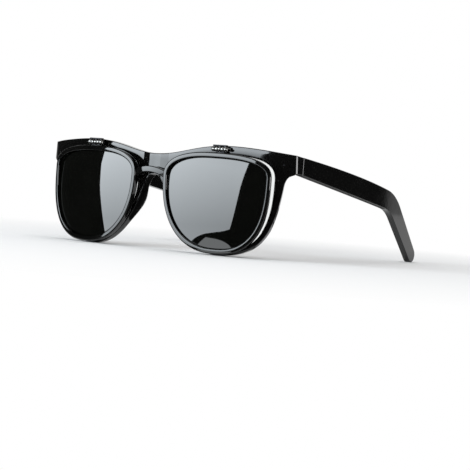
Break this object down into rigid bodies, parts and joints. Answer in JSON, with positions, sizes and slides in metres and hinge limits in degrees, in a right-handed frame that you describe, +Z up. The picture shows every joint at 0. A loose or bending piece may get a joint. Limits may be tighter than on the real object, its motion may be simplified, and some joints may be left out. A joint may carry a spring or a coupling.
{
  "type": "flip-up welding spectacles",
  "caption": "Black spectacle frame with clear lenses, folding temples and a slim front of dark filter lenses that swings up on brow hinges.",
  "frame": {"origin": "on the table under the middle of the whole, with the rims and temple tips standing on it", "axes": "+X to the wearer's left, +Y from the lenses back along the temples, +Z up"},
  "size_m": [0.1438, 0.159, 0.0523],
  "materials": {
    "black_plastic": "polished gloss",
    "clear_glass": "clear polished",
    "dark_glass": "dark mirror-gloss filter",
    "nickel": "nickel-plated satin",
    "dark_steel": "blackened satin"
  },
  "bodies": {
    "frame": {"front_frame": "black_plastic", "left_clear_lens": "clear_glass", "right_clear_lens": "clear_glass", "left_flip_hinge_frame_leaf": "dark_steel", "right_flip_hinge_frame_leaf": "dark_steel", "left_flip_hinge_pin": "nickel", "right_flip_hinge_pin": "nickel", "left_temple_hinge_front_leaf": "nickel", "right_temple_hinge_front_leaf": "nickel", "left_temple_hinge_screw": "nickel", "right_temple_hinge_screw": "nickel", "left_end_piece_rivet": "dark_steel", "right_end_piece_rivet": "dark_steel"},
    "flip_front": {"flip_frame": "black_plastic", "left_dark_lens": "dark_glass", "right_dark_lens": "dark_glass", "left_flip_hinge_rim_leaf": "nickel", "right_flip_hinge_rim_leaf": "nickel"},
    "left_temple_arm": {"left_temple": "black_plastic", "left_temple_hinge_arm_leaf": "nickel"},
    "right_temple_arm": {"right_temple": "black_plastic", "right_temple_hinge_arm_leaf": "nickel"}
  },
  "joints": [
    {"name": "flip_up", "type": "hinge", "parent": "frame", "child": "flip_front", "pos_m": [0, -0.07584, 0.0503], "axis": [-1, 0, 0], "range_deg": [0, 95]},
    {"name": "left_temple_fold", "type": "hinge", "parent": "frame", "child": "left_temple_arm", "pos_m": [0.06615, -0.05682, 0.04505], "axis": [0, 0, 1], "range_deg": [0, 93]},
    {"name": "right_temple_fold", "type": "hinge", "parent": "frame", "child": "right_temple_arm", "pos_m": [-0.06615, -0.05682, 0.04505], "axis": [0, 0, -1], "range_deg": [0, 87]}
  ]
}
